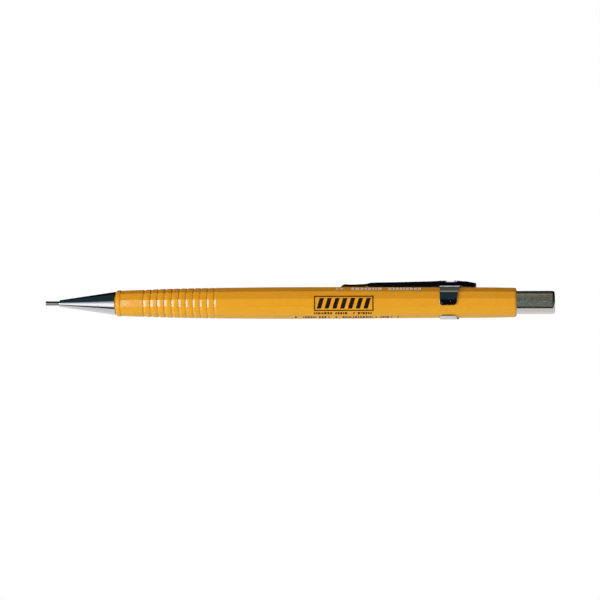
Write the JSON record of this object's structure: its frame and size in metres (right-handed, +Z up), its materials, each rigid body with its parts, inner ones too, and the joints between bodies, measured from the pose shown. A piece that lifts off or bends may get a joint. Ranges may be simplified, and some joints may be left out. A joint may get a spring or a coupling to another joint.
{
  "type": "mechanical pencil",
  "caption": "Slim push-button mechanical pencil: faceted barrel with a grooved grip, metal tip cone, thin lead pipe, pressed pocket clip and metal push cap.",
  "frame": {"origin": "middle of the bounding box in X and Y, on the surface that the pencil lies on in Z", "axes": "+X along the pencil from the tip to the push cap, +Y the way the pocket clip points, +Z up"},
  "size_m": [0.1442, 0.0122, 0.0094],
  "materials": {
    "golden_plastic": "glossy golden-orange moulded plastic",
    "dark_ink": "screen-printed dark ink",
    "white_ink": "screen-printed white ink",
    "chrome": "mirror chrome plating on brass",
    "clip_chrome": "mirror chrome on pressed sheet steel",
    "satin_steel": "satin stainless steel with a faint mottle",
    "pipe_steel": "drawn stainless steel tube",
    "brass": "machined brass",
    "spring_steel": "bright drawn steel wire",
    "black_rubber": "matte black rubber",
    "white_plastic": "white moulded plastic",
    "smoky_plastic": "translucent extruded plastic tube",
    "eraser_rubber": "soft white vinyl",
    "graphite": "dark polymer lead with a dull sheen"
  },
  "bodies": {
    "barrel": {"barrel": "golden_plastic", "clutch_sleeve": "brass"},
    "clip": {"pocket_clip": "clip_chrome"},
    "tip_carrier": {"lead_retainer": "black_rubber"},
    "tip": {"nose_cone": "chrome", "lead_pipe": "pipe_steel"},
    "push_rod": {"lead_reservoir": "smoky_plastic", "chuck_connector": "white_plastic", "chuck": "brass", "return_spring": "spring_steel", "eraser_holder": "satin_steel", "spare_lead_1": "graphite", "spare_lead_2": "graphite", "spare_lead_3": "graphite", "spare_lead_4": "graphite"},
    "clutch": {"clutch_ring": "brass"},
    "lead": {"writing_lead": "graphite"},
    "cap": {"push_cap": "satin_steel"},
    "eraser": {"eraser": "eraser_rubber", "cleaning_pin": "spring_steel"}
  },
  "joints": [
    {"name": "button_press", "type": "slide", "parent": "barrel", "child": "push_rod", "axis": [-1, 0, 0], "range_m": [0, 0.0035], "stiffness_N_per_m": 500, "springref_m": -0.0012, "deforming": ["return_spring"]},
    {"name": "clutch_ring_slide", "type": "slide", "parent": "barrel", "child": "clutch", "axis": [-1, 0, 0], "range_m": [0, 0.00071]},
    {"name": "lead_feed", "type": "slide", "parent": "barrel", "child": "lead", "axis": [-1, 0, 0], "range_m": [0, 0.00071]},
    {"name": "tip_advance", "type": "slide", "parent": "barrel", "child": "tip_carrier", "axis": [-1, 0, 0], "range_m": [0, 0.003]},
    {"name": "tip_unscrew", "type": "hinge", "parent": "tip_carrier", "child": "tip", "pos_m": [-0.0525, -0.00165, 0.00472], "axis": [-1, 0, 0], "range_deg": [0, 1441]},
    {"name": "cap_pull", "type": "slide", "parent": "push_rod", "child": "cap", "axis": [1, 0, 0], "range_m": [0, 0.03]},
    {"name": "eraser_pull", "type": "slide", "parent": "push_rod", "child": "eraser", "axis": [1, 0, 0], "range_m": [0, 0.0151]},
    {"name": "clip_slide", "type": "slide", "parent": "barrel", "child": "clip", "axis": [1, 0, 0], "range_m": [0, 0.0225]}
  ],
  "couplings": [
    {"joint": "clutch_ring_slide", "follows": "button_press", "ratio": 0.2},
    {"joint": "lead_feed", "follows": "button_press", "ratio": 0.2},
    {"joint": "tip_unscrew", "follows": "tip_advance", "rad_per_m": 8377.6},
    {"joint": "eraser_pull", "follows": "cap_pull", "ratio": 0.5}
  ]
}
